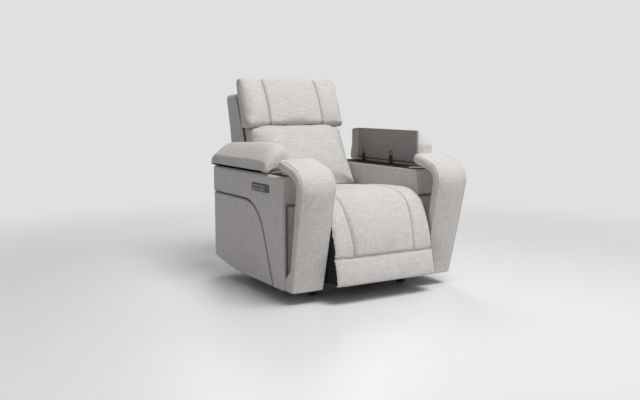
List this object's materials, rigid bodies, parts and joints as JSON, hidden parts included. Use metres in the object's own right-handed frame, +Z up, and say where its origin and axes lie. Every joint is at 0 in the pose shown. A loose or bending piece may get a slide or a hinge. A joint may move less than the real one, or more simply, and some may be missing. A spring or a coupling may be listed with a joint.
{
  "type": "power recliner",
  "caption": "Upholstered power recliner with storage arms, lids over tubs, cup holders, arched arm fronts, powered footrest, back and headrest.",
  "frame": {"origin": "on the floor, on the chair's middle plane, midway between its front and rear feet", "axes": "+X to the sitter's left, +Y to the back, +Z up"},
  "size_m": [1.0288, 1.1769, 1.0643],
  "materials": {
    "upholstery": "woven linen-look cloth",
    "arm_frame": "cloth over a board frame",
    "lid_lining": "dark grey lining cloth over board",
    "lining": "black non-woven lining",
    "wood": "raw plywood",
    "black_metal": "black powder coat",
    "bolt_steel": "zinc plated",
    "cup_metal": "bright satin",
    "tub_plastic": "fine grain",
    "black_plastic": "fine grain",
    "control_plastic": "satin grey",
    "key_plastic": "satin grey"
  },
  "bodies": {
    "base": {"arm_bolts": "bolt_steel", "base_rails": "black_metal", "control_plate": "control_plastic", "cross_tubes": "black_metal", "feet": "black_plastic", "footrest_drive_rail": "bolt_steel", "footrest_motor": "black_plastic", "front_lining": "lining", "left_arm_frame": "arm_frame", "left_cup_holder": "cup_metal", "left_front_panel": "upholstery", "left_hook_band": "upholstery", "left_lid_hinge_leaves": "black_metal", "left_side_panel": "upholstery", "left_side_plate": "black_metal", "left_side_yoke": "upholstery", "left_storage_tub": "tub_plastic", "power_inlet": "black_plastic", "recline_drive_rail": "bolt_steel", "recline_motor": "black_plastic", "right_arm_frame": "arm_frame", "right_cup_holder": "cup_metal", "right_front_panel": "upholstery", "right_hook_band": "upholstery", "right_lid_hinge_leaves": "black_metal", "right_side_panel": "upholstery", "right_side_plate": "black_metal", "right_side_yoke": "upholstery", "right_storage_tub": "tub_plastic", "seat_cushion": "upholstery", "seat_rails": "wood", "seat_webbing": "lining"},
    "right_lid": {"right_lid_board": "lid_lining", "right_lid_pad": "upholstery", "right_lid_hinge_lugs": "black_metal", "right_lid_hinge_pins": "black_metal"},
    "left_lid": {"left_lid_board": "lid_lining", "left_lid_pad": "upholstery", "left_lid_hinge_lugs": "black_metal", "left_lid_hinge_pins": "black_metal"},
    "recline_key": {"recline_key": "key_plastic"},
    "return_key": {"return_key": "key_plastic"},
    "headrest_up_key": {"headrest_up_key": "key_plastic"},
    "headrest_down_key": {"headrest_down_key": "key_plastic"},
    "footrest": {"footrest_board": "wood", "footrest_upper_pad": "upholstery", "footrest_lower_pad": "upholstery"},
    "lift_links": {"footrest_lift_links": "black_metal"},
    "reach_links": {"footrest_reach_links": "black_metal"},
    "footrest_drive": {"footrest_carriage": "black_plastic"},
    "recline_drive": {"recline_carriage": "black_plastic"},
    "back": {"back_board": "wood", "back_shell": "upholstery", "back_cushion": "upholstery", "recline_brackets": "black_metal", "headrest_lugs": "black_metal", "headrest_motor": "black_plastic"},
    "headrest": {"headrest_pad": "upholstery", "headrest_bracket": "black_metal"},
    "headrest_drive": {"headrest_rod": "bolt_steel"}
  },
  "joints": [
    {"name": "footrest_lift", "type": "hinge", "parent": "base", "child": "footrest", "pos_m": [0, -0.4685, 0.46476], "axis": [-1, 0, 0], "range_deg": [0, 75]},
    {"name": "lift_link_pivot", "type": "hinge", "parent": "base", "child": "lift_links", "pos_m": [0, -0.32, 0.262], "axis": [-1, 0, 0], "range_deg": [0, 85]},
    {"name": "reach_link_pivot", "type": "hinge", "parent": "lift_links", "child": "reach_links", "pos_m": [0, -0.24, 0.122], "axis": [-1, 0, 0], "range_deg": [-65, 0]},
    {"name": "footrest_drive_slide", "type": "slide", "parent": "base", "child": "footrest_drive", "axis": [0, -1, 0], "range_m": [0, 0.15]},
    {"name": "back_recline", "type": "hinge", "parent": "base", "child": "back", "pos_m": [0, 0.165, 0.42], "axis": [-1, 0, 0], "range_deg": [0, 28]},
    {"name": "recline_drive_slide", "type": "slide", "parent": "base", "child": "recline_drive", "axis": [0, 1, 0], "range_m": [0, 0.12]},
    {"name": "headrest_tilt", "type": "hinge", "parent": "back", "child": "headrest", "pos_m": [0, 0.322, 0.7965], "axis": [1, 0, 0], "range_deg": [0, 35]},
    {"name": "headrest_drive_slide", "type": "slide", "parent": "back", "child": "headrest_drive", "axis": [0, -0.95, 0.3123], "range_m": [0, 0.05]},
    {"name": "right_lid_hinge", "type": "hinge", "parent": "base", "child": "right_lid", "pos_m": [-0.451, 0.07, 0.622], "axis": [0, -1, 0], "range_deg": [0, 90]},
    {"name": "left_lid_hinge", "type": "hinge", "parent": "base", "child": "left_lid", "pos_m": [0.451, 0.07, 0.622], "axis": [0, 1, 0], "range_deg": [-90, 0]},
    {"name": "recline_key_press", "type": "slide", "parent": "base", "child": "recline_key", "axis": [1, 0, 0], "range_m": [0, 0.0012], "stiffness_N_per_m": 400},
    {"name": "return_key_press", "type": "slide", "parent": "base", "child": "return_key", "axis": [1, 0, 0], "range_m": [0, 0.0012], "stiffness_N_per_m": 400},
    {"name": "headrest_up_key_press", "type": "slide", "parent": "base", "child": "headrest_up_key", "axis": [1, 0, 0], "range_m": [0, 0.0012], "stiffness_N_per_m": 400},
    {"name": "headrest_down_key_press", "type": "slide", "parent": "base", "child": "headrest_down_key", "axis": [1, 0, 0], "range_m": [0, 0.0012], "stiffness_N_per_m": 400}
  ],
  "couplings": [
    {"joint": "lift_link_pivot", "follows": "footrest_lift", "ratio": 1.1333},
    {"joint": "reach_link_pivot", "follows": "footrest_lift", "ratio": -0.86667},
    {"joint": "footrest_drive_slide", "follows": "footrest_lift", "m_per_rad": 0.11459},
    {"joint": "recline_drive_slide", "follows": "back_recline", "m_per_rad": 0.24555},
    {"joint": "headrest_drive_slide", "follows": "headrest_tilt", "m_per_rad": 0.081851}
  ]
}
